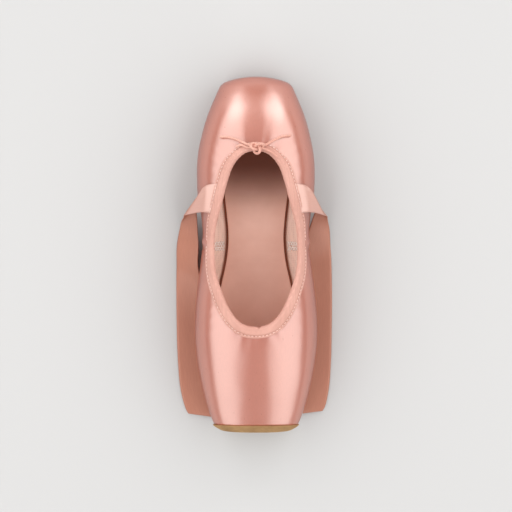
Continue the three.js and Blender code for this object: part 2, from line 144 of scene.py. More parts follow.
def lastSection(y, inset, toeEnd, heelEnd):
    at = y / last["length"] + 0.5
    half = last["ballWidth"] / 2
    toeRadius = np.maximum(last["toeCorner"] - inset, 1)
    heelRadius = np.maximum(last["heelCorner"] - inset, 1)
    draw = cornerDraw(y - toeEnd, toeRadius) + cornerDraw(heelEnd - y, heelRadius)
    return {
        "halfWidth": half * readTable(lastRows, "width", at) - inset - draw,
        "crown": last["instepHeight"] * readTable(lastRows, "crown", at) - inset - draw,
        "widest": last["instepHeight"] * readTable(lastRows, "widest", at),
        "bottom": upperBase(y) + inset + draw,
        "soleHalf": half * readTable(lastRows, "sole", at) - 0.4 * inset - draw,
        "bow": last["heelBow"] * smoothStep(y, 85, last["heelBack"]),
    }


def satinHeight(x, y):
    s = lastSection(y, 0.0, last["toeFace"], last["heelBack"])
    across = np.minimum(np.abs(x) / s["halfWidth"], 1)
    power = last["topPower"]
    return s["widest"] + (s["crown"] - s["widest"]) * (1 - across ** power) ** (1 / power)


def satinNormal(x, y):
    h = 0.2
    slopeX = (satinHeight(x + h, y) - satinHeight(x - h, y)) / (2 * h)
    slopeY = (satinHeight(x, y + h) - satinHeight(x, y - h)) / (2 * h)
    normal = np.stack([-slopeX, -slopeY, np.ones_like(slopeX)], axis=-1)
    return normal / np.linalg.norm(normal, axis=-1, keepdims=True)


def onSatin(x, y, lift):
    x, y = np.asarray(x, float), np.asarray(y, float)
    point = np.stack([x, y, satinHeight(x, y)], axis=-1)
    return point + satinNormal(x, y) * np.asarray(lift, float)[..., None]


# curves and meshes
def runAlong(points):
    # distance travelled at each point of a line
    return np.concatenate([[0], np.cumsum(np.linalg.norm(np.diff(points, axis=0), axis=1))])


def between(t, low, high, first, second):
    return ((high - t) * first + (t - low) * second) / (high - low)


def curveSpans(points, perSpan, closed=False):
    # centripetal curve through the points, with equal steps between them
    p = np.array(points, float)
    if closed:
        p = np.vstack([p[-1:], p, p[:2]])
    else:
        p = np.vstack([2 * p[0] - p[1], p, 2 * p[-1] - p[-2]])
    fine = []
    for i in range(1, len(p) - 2):
        a, b, c, d = p[i - 1:i + 3]
        k = np.cumsum([0] + [np.linalg.norm(v) ** 0.5 for v in (b - a, c - b, d - c)])
        t = np.linspace(k[1], k[2], perSpan, endpoint=False)[:, None]
        middle = between(t, k[1], k[2], b, c)
        first = between(t, k[0], k[2], between(t, k[0], k[1], a, b), middle)
        second = between(t, k[1], k[3], middle, between(t, k[2], k[3], c, d))
        fine.append(between(t, k[1], k[2], first, second))
    fine.append(p[-2:-1])
    return np.vstack(fine)


def curveThrough(points, count, closed=False):
    # evenly spaced places on that curve
    fine = curveSpans(points, 24, closed)
    along = runAlong(fine)
    at = np.linspace(0, along[-1], count + 1 if closed else count)
    if closed:
        at = at[:-1]
    return np.stack([np.interp(at, along, fine[:, k]) for k in range(3)], axis=1)


def ringDirections(points):
    ahead = np.roll(points, -1, axis=0) - np.roll(points, 1, axis=0)
    return ahead / np.linalg.norm(ahead, axis=1, keepdims=True)


def addObject(name, data):
    thing = bpy.data.objects.new(name, data)
    bpy.context.scene.collection.objects.link(thing)
    return thing


def ridingPiece(name, mesh):
    mesh.polygons.foreach_set("use_smooth", [True] * len(mesh.polygons))
    piece = addObject(name, mesh)
    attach(piece, "root")
    return piece


def makePiece(name, points, faces, material):
    mesh = bpy.data.meshes.new(name)
    mesh.from_pydata((np.asarray(points, float) * mm).tolist(), [], [list(map(int, f)) for f in faces])
    mesh.validate()
    mesh.materials.append(material)
    mesh.update()
    return ridingPiece(name, mesh)


def gridFaces(rows, columns, loopRows=False):
    faces = []
    for i in range(rows if loopRows else rows - 1):
        nextRow = (i + 1) % rows
        for j in range(columns):
            k = (j + 1) % columns
            faces.append((i * columns + j, i * columns + k, nextRow * columns + k, nextRow * columns + j))
    return faces


def facingOut(points, faces):
    # faces turned round where their closed shell is inside out
    p = np.asarray(points, float)
    total = 0.0
    for f in faces:
        for k in range(1, len(f) - 1):
            total += np.dot(p[f[0]], np.cross(p[f[k]], p[f[k + 1]]))
    return faces if total > 0 else [tuple(reversed(f)) for f in faces]


def closedSweep(sections, isLoop):
    # skins equal rings; an open sweep gets a fan at each end
    sections = np.asarray(sections, float)
    rows, columns = sections.shape[:2]
    points = sections.reshape(-1, 3)
    faces = gridFaces(rows, columns, loopRows=isLoop)
    if not isLoop:
        ends = np.vstack([sections[0].mean(axis=0), sections[-1].mean(axis=0)])
        first, second = len(points), len(points) + 1
        points = np.vstack([points, ends])
        for j in range(columns):
            k = (j + 1) % columns
            faces.append((first, k, j))
            faces.append((second, (rows - 1) * columns + j, (rows - 1) * columns + k))
    return points, facingOut(points, faces)


def tubeSections(route, radius, sides):
    # rings round a route, carried along without twist
    route = np.asarray(route, float)
    ahead = np.gradient(route, axis=0)
    ahead /= np.linalg.norm(ahead, axis=1, keepdims=True)
    up = np.cross(ahead[0], [0, 0, 1.0])
    if np.linalg.norm(up) < 0.1:
        up = np.cross(ahead[0], [0, 1.0, 0])
    turns = np.arange(sides)[:, None] * 2 * np.pi / sides
    rings = []
    for place, direction, size in zip(route, ahead, np.broadcast_to(radius, len(route))):
        up = up - direction * np.dot(up, direction)
        up /= np.linalg.norm(up)
        side = np.cross(direction, up)
        rings.append(place + size * (np.cos(turns) * up + np.sin(turns) * side))
    return rings


def thicken(piece, thickness):
    wall = piece.modifiers.new("wall", "SOLIDIFY")
    wall.thickness = thickness * mm
    wall.offset = -1
    wall.use_even_offset = False
    wall.use_quality_normals = True
    depsgraph = bpy.context.evaluated_depsgraph_get()
    depsgraph.update()
    thin = piece.data
    piece.data = bpy.data.meshes.new_from_object(piece.evaluated_get(depsgraph))
    piece.modifiers.clear()
    bpy.data.meshes.remove(thin)


# materials
def srgb(red, green, blue):
    values = [red / 255, green / 255, blue / 255]
    return [v / 12.92 if v <= 0.04045 else ((v + 0.055) / 1.055) ** 2.4 for v in values] + [1.0]


def newMaterial(name, color, roughness, **sockets):
    material = bpy.data.materials.new(name)
    material.use_nodes = True
    material.diffuse_color = color
    tree = material.node_tree
    shader = tree.nodes["Principled BSDF"]
    shader.inputs["Base Color"].default_value = color
    shader.inputs["Roughness"].default_value = roughness
    for key, value in sockets.items():
        shader.inputs[key.replace("_", " ")].default_value = value
    return material, tree, shader


def addNode(tree, kind, inputs=None, **settings):
    node = tree.nodes.new(kind)
    for key, value in settings.items():
        setattr(node, key, value)
    for key, value in (inputs or {}).items():
        if isinstance(value, bpy.types.NodeSocket):
            tree.links.new(value, node.inputs[key])
        else:
            node.inputs[key].default_value = value
    return node


def patternPlace(tree, scale, source="Object"):
    place = addNode(tree, "ShaderNodeTexCoord")
    mapping = addNode(tree, "ShaderNodeMapping", {"Vector": place.outputs[source], "Scale": scale})
    return mapping.outputs["Vector"]


def noiseOf(tree, scale, detail=3.0, source="Object"):
    texture = addNode(tree, "ShaderNodeTexNoise", {
        "Vector": patternPlace(tree, scale, source), "Scale": 1.0, "Detail": detail})
    return texture.outputs["Fac"]


def blendColors(tree, factor, low, high, start=0.3, end=0.7):
    ramp = addNode(tree, "ShaderNodeValToRGB", {"Fac": factor})
    ramp.color_ramp.elements[0].position = start
    ramp.color_ramp.elements[0].color = low
    ramp.color_ramp.elements[1].position = end
    ramp.color_ramp.elements[1].color = high
    return ramp.outputs["Color"]


def mixColors(tree, factor, first, second, mode="MIX"):
    mix = addNode(tree, "ShaderNodeMix", data_type="RGBA", blend_type=mode)
    for socket, value in ((mix.inputs[0], factor), (mix.inputs[6], first), (mix.inputs[7], second)):
        if isinstance(value, bpy.types.NodeSocket):
            tree.links.new(value, socket)
        else:
            socket.default_value = value
    return mix.outputs[2]


def addBump(tree, shader, height, distance, strength, under=None):
    inputs = {"Height": height, "Distance": distance, "Strength": strength}
    if under is not None:
        inputs["Normal"] = under
    bump = addNode(tree, "ShaderNodeBump", inputs)
    tree.links.new(bump.outputs["Normal"], shader.inputs["Normal"])
    return bump.outputs["Normal"]


def tintBy(tree, shader, color, shade):
    tree.links.new(mixColors(tree, 1.0, color, shade, "MULTIPLY"), shader.inputs["Base Color"])


def fadeGloss(material, share, start, end, first, second):
    # gloss goes from first to second, as shares of the finish's own, while share goes from start to end
    tree = material.node_tree
    shader = tree.nodes["Principled BSDF"]
    for socket in ("Coat Weight", "Specular IOR Level"):
        full = shader.inputs[socket].default_value
        fade = addNode(tree, "ShaderNodeMapRange", {
            "Value": share, "From Min": start, "From Max": end,
            "To Min": first * full, "To Max": second * full})
        tree.links.new(fade.outputs["Result"], shader.inputs[socket])


def satinFinish(name, look):
    roughness = look["roughness"]
    material, tree, shader = newMaterial(
        name, look["pale"], roughness, IOR=2.8, Specular_Tint=srgb(255, 238, 230), Coat_Weight=look["coat"],
        Coat_IOR=2.2, Coat_Roughness=roughness - 0.03, Coat_Tint=srgb(255, 240, 234))
    cloudy = noiseOf(tree, (28, 16, 28), 2.0, look["source"])
    streaks = noiseOf(tree, look["threads"], 2.0, look["source"])
    base = blendColors(tree, cloudy, look["deep"], look["pale"])
    faint = blendColors(tree, streaks, (0.90, 0.88, 0.87, 1), (1, 1, 1, 1), 0.25, 0.75)
    # painted shade: deeper in colour and duller low on the sides, where the surface turns to face sideways,
    # standing in for the shade there
    facing = addNode(tree, "ShaderNodeNewGeometry")
    upward = addNode(tree, "ShaderNodeSeparateXYZ", {"Vector": facing.outputs["Normal"]}).outputs["Z"]
    side = blendColors(tree, upward, look["paintedSideShade"], (1, 1, 1, 1), 0.15, 0.8)
    tintBy(tree, shader, mixColors(tree, 1.0, base, faint, "MULTIPLY"), side)
    fadeGloss(material, upward, 0.2, 0.8, look["paintedShadeGloss"], 1)
    gloss = addNode(tree, "ShaderNodeMapRange", {
        "Value": streaks, "To Min": roughness - 0.04, "To Max": roughness + 0.06})
    tree.links.new(gloss.outputs["Result"], shader.inputs["Roughness"])
    fine = noiseOf(tree, tuple(3 * v for v in look["threads"]), 1.0, look["source"])
    addBump(tree, shader, fine, 0.00005, 0.35)
    return material


def clothFinish(name, deep, pale, pitch, roughness=0.8, bump=0.5, dark=0.86):
    # plain woven cotton: two crossing sets of threads
    material, tree, shader = newMaterial(
        name, pale, roughness, Sheen_Weight=0.25, Sheen_Roughness=0.5, Sheen_Tint=pale)
    base = blendColors(tree, noiseOf(tree, (45, 45, 45)), deep, pale)
    place = patternPlace(tree, (1, 1, 1))
    threads = []
    for direction in ("X", "Y", "Z"):
        wave = addNode(tree, "ShaderNodeTexWave", {
            "Vector": place, "Scale": 0.159 / pitch, "Distortion": 1.2, "Detail": 1.0},
            bands_direction=direction)
        threads.append(wave.outputs["Fac"])
    first = addNode(tree, "ShaderNodeMath", {0: threads[0], 1: threads[1]}, operation="MAXIMUM")
    weave = addNode(tree, "ShaderNodeMath", {0: first.outputs[0], 1: threads[2]}, operation="MAXIMUM")
    shade = blendColors(tree, weave.outputs[0], (dark, dark * 0.98, dark * 0.97, 1), (1, 1, 1, 1), 0.4, 1.0)
    tintBy(tree, shader, base, shade)
    addBump(tree, shader, weave.outputs[0], 0.00008, bump)
    return material


def napFinish(name, deep, pale):
    # suede: short nap with brushed patches
    material, tree, shader = newMaterial(
        name, pale, 0.92, Sheen_Weight=0.5, Sheen_Roughness=0.6, Sheen_Tint=pale)
    patches = noiseOf(tree, (160, 160, 160), 4.0)
    tree.links.new(blendColors(tree, patches, deep, pale, 0.3, 0.72), shader.inputs["Base Color"])
    addBump(tree, shader, noiseOf(tree, (2600, 2600, 2600), 2.0), 0.00015, 0.8)
    return material


def leatherFinish(name, deep, pale, roughness=0.6):
    material, tree, shader = newMaterial(name, pale, roughness)
    patches = noiseOf(tree, (60, 30, 60), 5.0)
    base = blendColors(tree, patches, deep, pale, 0.3, 0.7)
    scuffs = noiseOf(tree, (700, 60, 700), 3.0)
    scuffed = blendColors(tree, scuffs, (1, 1, 1, 1), (0.82, 0.78, 0.74, 1), 0.58, 0.72)
    tintBy(tree, shader, base, scuffed)
    grain = addNode(tree, "ShaderNodeTexVoronoi", {
        "Vector": patternPlace(tree, (1, 1, 1)), "Scale": 1500.0}, feature="DISTANCE_TO_EDGE")
    under = addBump(tree, shader, grain.outputs["Distance"], 0.0001, 0.5)
    addBump(tree, shader, scuffs, 0.0001, 0.3, under)
    return material


def darkenAlong(material, start, end, shade, source="Object"):
    # multiplies the colour by shade from y = start to y = end, and gives back how far along it is
    tree = material.node_tree
    shader = tree.nodes["Principled BSDF"]
    before = shader.inputs["Base Color"].links[0].from_socket
    place = addNode(tree, "ShaderNodeTexCoord")
    split = addNode(tree, "ShaderNodeSeparateXYZ", {"Vector": place.outputs[source]})
    share = addNode(tree, "ShaderNodeMapRange", {
        "Value": split.outputs["Y"], "From Min": start * mm, "From Max": end * mm},
        interpolation_type="SMOOTHSTEP").outputs["Result"]
    tintBy(tree, shader, before, mixColors(tree, share, (1, 1, 1, 1), shade))
    return share


satin = {
    "deep": srgb(184, 103, 83),
    "pale": srgb(193, 114, 93),
    "threads": (1500, 90, 1500),
    "source": "Object",
    "roughness": 0.29,
    "coat": 0.75,
    # painted shade on the sides: colour and gloss taken down where the satin faces sideways
    "paintedSideShade": (0.62, 0.46, 0.40, 1),
    "paintedShadeGloss": 0.3,
}
ribbonSatin = {
    "deep": srgb(206, 150, 134),
    "pale": srgb(216, 162, 146),
    "threads": (1600, 120, 1600),
    "source": "UV",
    "roughness": 0.42,
    "coat": 0.35,
    "paintedSideShade": (1, 1, 1, 1),
    "paintedShadeGloss": 1.0,
}
paintedShadeAndDullFace = {
    "heelShadowStart": 22,          # painted shadow: the insole darkens under the heel end, where the heel cup shades it
    "heelShadowEnd": 60,
    "heelPaintedShadow": (0.20, 0.10, 0.065, 1),
    "foldFrom": 17,          # a ribbon lies dull side up past its fold, and its colour is painted darker there as shade as well
    "foldTo": 24,
    "foldDullFaceAndShade": (0.72, 0.57, 0.47, 1),
    "foldGloss": 0.2,
}
satinPink = satinFinish("pinkSatin", satin)
ribbonPink = satinFinish("ribbonSatin", ribbonSatin)
bindingCotton = clothFinish("bindingCotton", srgb(206, 152, 137), srgb(219, 167, 152), 0.00042)
liningCotton = clothFinish("liningDrill", srgb(242, 206, 188), srgb(249, 218, 204), 0.0006)
insoleCloth = clothFinish("insoleCloth", srgb(232, 184, 166), srgb(242, 197, 180), 0.0004, 0.6, 0.06, 0.985)
cordCotton = clothFinish("cordCotton", srgb(220, 158, 140), srgb(236, 182, 164), 0.0003, 0.75, 0.9, 0.7)
threadPink = clothFinish("stitchThread", srgb(246, 210, 196), srgb(253, 226, 214), 0.0002, 0.6, 0.3)
threadWhite = clothFinish("tackThread", srgb(252, 240, 232), srgb(255, 248, 242), 0.0002, 0.6, 0.3, 0.96)
tipSuede = napFinish("tipSuede", srgb(138, 104, 66), srgb(172, 136, 92))
soleLeather = leatherFinish("soleLeather", srgb(176, 138, 104), srgb(200, 164, 130))
# dark board leather: painted shadow along the insole's edge
boardShadowLeather = leatherFinish("boardShadowLeather", srgb(112, 60, 40), srgb(130, 74, 52), 0.8)
# painted shadow on the insole under the heel end
darkenAlong(insoleCloth, paintedShadeAndDullFace["heelShadowStart"], paintedShadeAndDullFace["heelShadowEnd"], paintedShadeAndDullFace["heelPaintedShadow"])
# past the fold: the dull back face, with painted shade darkening its colour
pastFoldShare = darkenAlong(ribbonPink, paintedShadeAndDullFace["foldFrom"], paintedShadeAndDullFace["foldTo"], paintedShadeAndDullFace["foldDullFaceAndShade"], "UV")
fadeGloss(ribbonPink, pastFoldShare, 0, 1, 1, paintedShadeAndDullFace["foldGloss"])
print("materials made")

# camera
view = {"tilt": math.radians(7), "distance": 1.3, "frameWidth": 0.3384, "sensor": 36.0,
        "targetY": -0.0014, "targetZ": 0.02}
camera = addObject("camera", bpy.data.cameras.new("camera"))
camera.data.sensor_width = view["sensor"]
camera.data.lens = view["sensor"] * view["distance"] / view["frameWidth"]
camera.rotation_euler = (-view["tilt"], 0, 0)
camera.location = (
    0,
    view["targetY"] + view["distance"] * math.sin(view["tilt"]),
    view["targetZ"] + view["distance"] * math.cos(view["tilt"]),
)
bpy.context.scene.camera = camera
print("camera placed")

# drawstring: cords and knot
drawstring = {
    "diameter": 1.5,
    "knotMiddle": (0.6, 71.9),
    "knotLift": 4.0,
    "knotRadius": 3.8,
    "knotForm": (1.15, 0.98, 1.0),
    "knotCord": 0.9,         # radius of the cord in the knot
    "twists": 17,            # turns of the ply along a cord
    "plyDepth": 0.05,
}
# plan places over the satin and the lift of the cord's middle, in millimetres
cordPaths = {
    "drawstring_right": {
        "places": [(-12.6, 72.4, 1.6), (-9.4, 73.6, 1.8), (-5, 72.2, 2.2), (-1.5, 72.6, 3.2),
                   (2.0, 73.2, 3.5), (5.7, 73.6, 3.2), (9, 75.4, 2.2), (13, 77.6, 1.2),
                   (17.5, 79.2, 1.15), (22, 79.4, 1.15)],
        "solids": ("drawstring_lead_left", "drawstring_end_right"),
    },
    "drawstring_left": {
        "places": [(13.2, 66.2, 1.8), (10, 69.0, 2.1), (6.2, 71.0, 2.5), (2.8, 71.8, 3.0),
                   (-1.0, 72.8, 3.4), (-4.5, 73.6, 3.2), (-8, 75.2, 2.2), (-13, 77.4, 1.2),
                   (-18, 78.6, 1.15), (-23.2, 78.4, 1.15)],
        "solids": ("drawstring_lead_right", "drawstring_end_left"),
    },
}


def makeKnot():
    # an overhand knot drawn up tight
    t = np.linspace(0, 2 * np.pi, 120, endpoint=False)
    loops = np.stack([
        np.sin(t) + 2 * np.sin(2 * t), np.cos(t) - 2 * np.cos(2 * t), -np.sin(3 * t)], axis=1)
    loops = loops * drawstring["knotForm"] * (drawstring["knotRadius"] / 3)
    path = onSatin(*drawstring["knotMiddle"], drawstring["knotLift"]) + loops
    sections = tubeSections(np.vstack([path, path[:3]]), drawstring["knotCord"], 12)[:len(path)]
    points, faces = closedSweep(sections, True)
    knot = makePiece("knot_loops", points, faces, cordCotton)
    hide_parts("drawstring_knot")
    return knot


def makeCord(name, spec):
    x, y, lift = np.array(spec["places"], float).T
    route = curveThrough(onSatin(x, y, lift), 90)
    spin = np.linspace(0, 2 * np.pi * drawstring["twists"], len(route))
    radius = drawstring["diameter"] / 2 * (1 + drawstring["plyDepth"] * np.sin(spin))
    radius[-2:] *= (0.9, 0.6)
    sections = tubeSections(route, radius, 12)
    points, faces = closedSweep(sections, False)
    piece = makePiece(name, points, faces, cordCotton)
    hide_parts(*spec["solids"])


knotPiece = makeKnot()
for cordName, cordSpec in cordPaths.items():
    makeCord(cordName, cordSpec)

# collar: its edge and the directions round it
collarCount = 480
collarPlan = np.stack([collarRows["x"], collarRows["y"], np.zeros(len(collarRows["x"]))], axis=1)
collarPlan = np.vstack([collarPlan, collarPlan[-2:0:-1] * np.array([-1, 1, 1])])
collarEdge = curveThrough(collarPlan, collarCount, closed=True)
collarEdge[:, 2] = satinHeight(collarEdge[:, 0], collarEdge[:, 1])
collarAlong = ringDirections(collarEdge)
collarNormal = satinNormal(collarEdge[:, 0], collarEdge[:, 1])
collarInward = np.cross(collarNormal, collarAlong)
outwards = (collarInward[:, 0] * collarEdge[:, 0] + collarInward[:, 1] * (collarEdge[:, 1] - 12)) > 0
collarInward[outwards] *= -1
collarRun = runAlong(collarEdge)
rightSide = collarEdge[:collarCount // 2 + 1]


def collarHalfAt(y):
    order = np.argsort(rightSide[:, 1])
    return np.interp(y, rightSide[order, 1], rightSide[order, 0], left=-1, right=-1)


def outwardPlace(distance):
    # plan places a distance down the satin from the collar edge, all round it
    plan = collarEdge[:, :2] - collarInward[:, :2] * np.broadcast_to(distance, collarCount)[:, None]
    return plan.T


# grids over the last
def stationsFor(toeEnd, heelEnd, toeRadius, heelRadius, spacing, cornerSteps):
    turns = np.linspace(0, np.pi / 2, cornerSteps + 1)
    toe = toeEnd + toeRadius * (1 - np.cos(turns))
    heel = heelEnd - heelRadius * (1 - np.cos(turns[::-1]))
    count = max(2, int(round((heel[0] - toe[-1]) / spacing)))
    return np.concatenate([toe[:-1], np.linspace(toe[-1], heel[0], count + 1), heel[1:]])


def lastGrid(insetAt, toeInset, spacing, half, cornerSteps=8):
    # rings round the last with equal counts; insetAt gives the depth below the satin at y
    toeEnd = last["toeFace"] + toeInset
    heelEnd = last["heelBack"] - float(insetAt(last["heelBack"]))
    toeRadius = max(last["toeCorner"] - float(insetAt(last["toeFace"])), 1)
    heelRadius = max(last["heelCorner"] - float(insetAt(last["heelBack"])), 1)
    y = stationsFor(toeEnd, heelEnd, toeRadius, heelRadius, spacing, cornerSteps)
    s = lastSection(y, insetAt(y), toeEnd, heelEnd)
    column = {key: value[:, None] for key, value in s.items()}
    flat = np.linspace(0, 1, 12, endpoint=False)[None, :]
    down = np.linspace(np.pi / 2, 0, 60, endpoint=False)[None, :]
    up = np.linspace(0, np.pi / 2, 120)[None, :]
    sideways = 2 / last["sidePower"]
    over = 2 / last["topPower"]
    x = np.hstack([
        column["soleHalf"] * flat,
        column["soleHalf"] + (column["halfWidth"] - column["soleHalf"]) * np.cos(down) ** sideways,
        column["halfWidth"] * np.maximum(np.cos(up), 0) ** over,
    ])
    z = np.hstack([
        column["bottom"] + 0 * flat,
        column["widest"] - (column["widest"] - column["bottom"]) * np.sin(down) ** sideways,
        column["widest"] + (column["crown"] - column["widest"]) * np.sin(up) ** over,
    ])
    x[:, -1] = 0
    run = np.hstack([np.zeros((len(y), 1)), np.cumsum(np.hypot(np.diff(x), np.diff(z)), axis=1)])
    even = np.linspace(0, 1, half + 1)
    halfX = np.stack([np.interp(even, run[i] / run[i, -1], x[i]) for i in range(len(y))])
    halfZ = np.stack([np.interp(even, run[i] / run[i, -1], z[i]) for i in range(len(y))])
    ringX = np.hstack([halfX, -halfX[:, -2:0:-1]])
    ringZ = np.hstack([halfZ, halfZ[:, -2:0:-1]])
    ringY = y[:, None] - column["bow"] * (ringX / column["halfWidth"]) ** 2
    return np.stack([ringX, ringY, ringZ], axis=2)


def gridNormals(grid):
    along = np.gradient(grid, axis=0)
    around = (np.roll(grid, -1, axis=1) - np.roll(grid, 1, axis=1)) / 2
    normal = np.cross(around, along)
    normal /= np.maximum(np.linalg.norm(normal, axis=2, keepdims=True), 1e-9)
    middle = grid.mean(axis=1, keepdims=True)
    inward = ((grid - middle) * normal).sum(axis=2) < 0
    return -normal if inward.mean() > 0.5 else normal


def capped(grid, capRings):
    # the grid's points and faces, with each end closed by shrinking rings
    rows, columns = grid.shape[:2]
    points = [grid.reshape(-1, 3)]
    faces = gridFaces(rows, columns)
    total = rows * columns
    for ring, rim, turned in ((grid[0], 0, False), (grid[-1], (rows - 1) * columns, True)):
        middle = ring.mean(axis=0)
        bowed = ring[:, 1].max() - ring[:, 1].min()
        reach = np.abs(ring[:, 0]).max()
        before = rim
        for k in range(1, capRings + 1):
            share = 1 - k / (capRings + 1)
            small = middle + (ring - middle) * share
            small[:, 1] = ring[:, 1].max() - bowed * (small[:, 0] / reach) ** 2 if turned else ring[:, 1]
            points.append(small)
            for j in range(columns):
                n = (j + 1) % columns
                quad = (before + j, before + n, total + n, total + j)
                faces.append(quad if turned else quad[::-1])
            before = total
            total += columns
        peak = middle.copy()
        peak[1] = ring[:, 1].max() if turned else ring[:, 1].mean()
        points.append(peak[None, :])
        for j in range(columns):
            n = (j + 1) % columns
            tip = (before + j, before + n, total)
            faces.append(tip if turned else tip[::-1])
        total += 1
    points = np.vstack(points)
    return points, facingOut(points, faces)


def keptFaces(points, faces, dropped):
    # faces whose corners aren't all dropped, on only the points that they use
    faces = [f for f in faces if not all(dropped[i] for i in f)]
    used = sorted({i for f in faces for i in f})
    order = {old: new for new, old in enumerate(used)}
    return points[used], [tuple(order[i] for i in f) for f in faces]


cover = {
    "satinThick": 0.7,
    "liningThick": 0.5,
    "collarDraw": 0.6,       # the cut edges lie this far in from the collar edge
    "soleDraw": 4.0,         # and from the outsole's
    "satinLevel": 2.0,       # the opening underneath reaches up to here
    "liningLevel": 5.5,
}


def openings(points, level):
    # which points lie in the collar opening or over the outsole's middle
    x, y, z = points.T
    s = lastSection(y, 0.0, last["toeFace"] - 3, last["heelBack"] + 3)
    overCollar = (np.abs(x) < collarHalfAt(y) - cover["collarDraw"]) & (z > s["widest"])
    sole = outsoleHalf(y) - cover["soleDraw"]
    underSole = (np.abs(x) < sole) & (z < upperBase(y) + level)
    return overCollar | underSole


def outsoleFull(y):
    return last["ballWidth"] / 2 * readTable(outsoleRows, "width", np.asarray(y) / last["length"] + 0.5)


def outsoleHalf(y):
    return outsoleFull(y) * roundEnds(y, soleSizes["toe"], soleSizes["heel"], soleSizes["roundEnd"])


def roundEnds(y, front, back, end):
    depth = np.clip(np.minimum(y - front, back - y), 0, end)
    return np.sqrt(np.maximum(1 - ((end - depth) / end) ** 2, 0))


# the satin's relief
relief = {
    "swell": 0.30,          # slow unevenness, mm
    "gather": 0.26,         # ripples that run away from the binding
    "gatherReach": 9.0,
    "gatherPitch": 6.5,
    "seamPlace": 4.0,       # side seams, at y
    "seamDepth": 0.35,
    "seamWide": 0.9,
    "pucker": 1.5,          # beside the top of each side seam
    "pleatDepth": 0.9,      # under the toe; half of it under the heel
    "toePleats": 26,
    "heelPleats": 16,
}


def plainDepth(y):
    return 0 * np.asarray(y, float)


def pleating(y, slope, start, turn, count):
    # folds that fan out under the shoe from y = start, where the satin faces down
    strength = smoothStep(y, start, start + 16) * (slope < -0.35) * smoothStep(-slope, 0.35, 0.8)
    return relief["pleatDepth"] * strength * (np.abs(np.sin(turn * count)) - 0.6)


def smoothNoise(points, scale, seed):
    return np.array([
        noise.noise(Vector((p[0] * scale[0] + seed, p[1] * scale[1], p[2] * scale[2]))) for p in points])


def satinRelief(points, normals):
    x, y, z = points.T
    out = relief["swell"] * smoothNoise(points, (0.03, 0.016, 0.03), 3.1)
    out += 0.12 * smoothNoise(points, (0.11, 0.03, 0.11), 8.7)
    # distance from the collar edge and place along it
    near = np.empty(len(points))
    spot = np.empty(len(points), int)
    for start in range(0, len(points), 4000):
        part = points[start:start + 4000]
        gaps = np.linalg.norm(part[:, None, :] - collarEdge[None, ::2, :], axis=2)
        spot[start:start + 4000] = gaps.argmin(axis=1) * 2
        near[start:start + 4000] = gaps.min(axis=1)
    run = collarRun[spot]
    line = np.stack([run, 0 * run, 0 * run], axis=1)
    wander = smoothNoise(line, (0.07, 1, 1), 1.7) * 5
    ripple = np.sin((run + wander) * 2 * np.pi / relief["gatherPitch"])
    strength = 0.55 + 0.45 * smoothNoise(line, (0.045, 1, 1), 5.2)
    heelSide = (1 + 0.6 * smoothStep(y, 45, 66)) * (1 - 0.9 * smoothStep(y, 66, 76) * bell(x, 0, 9))
    fade = np.exp(-near / relief["gatherReach"]) * (z > 20)
    out += relief["gather"] * ripple * strength * heelSide * fade
    # side seams with a pucker at the top of each
    side = np.abs(x) > 20
    above = smoothStep(z, 8, 16)
    seam = bell(y, relief["seamPlace"], relief["seamWide"]) * side
    out -= relief["seamDepth"] * seam * (0.35 + 0.65 * above)
    high = bell(z, 36, 7) * side
    out += relief["pucker"] * bell(y, relief["seamPlace"] + 5.5, 3.2) * high
    out -= 0.5 * relief["pucker"] * bell(y, relief["seamPlace"] - 4.0, 2.6) * high
    # pleats round the toe and softer ones round the heel, drawn in under the sole
    slope = normals[:, 2]
    out += pleating(-y, slope, 80, np.arctan2(x, -(y + 62)), relief["toePleats"])
    out += 0.5 * pleating(y, slope, 84, np.arctan2(x, y - 70), relief["heelPleats"])
    return out


def makeSatinUpper():
    grid = lastGrid(plainDepth, 0.0, 1.0, 90)
    places = grid.reshape(-1, 3)
    normals = gridNormals(grid).reshape(-1, 3)
    raised = (places + normals * satinRelief(places, normals)[:, None]).reshape(grid.shape)
    # the relief stops short of the platform and of the heel end
    raised[:6] = grid[:6]
    raised[-4:] = grid[-4:]
    points, faces = capped(raised, 5)
    points, faces = keptFaces(points, faces, openings(points, cover["satinLevel"]))
    upper = makePiece("satin_upper", points, faces, satinPink)
    thicken(upper, cover["satinThick"])
    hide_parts("upper")
    print("satin upper:", len(upper.data.polygons), "faces")


def makeLining():
    points, faces = capped(lastGrid(wallAt, last["platformWall"], 1.6, 60, 5), 3)
    points, faces = keptFaces(points, faces, openings(points, cover["liningLevel"]))
    lining = makePiece("lining", points, [f[::-1] for f in faces], liningCotton)
    thicken(lining, cover["liningThick"])
    print("lining:", len(lining.data.polygons), "faces")


makeSatinUpper()
makeLining()

# toe tip
toeTip = {"thickness": 0.85, "clearance": 0.3, "depth": 2.8, "crownDepth": 5.6, "rows": 16,
          "capRings": 16, "edgeWander": 0.22}


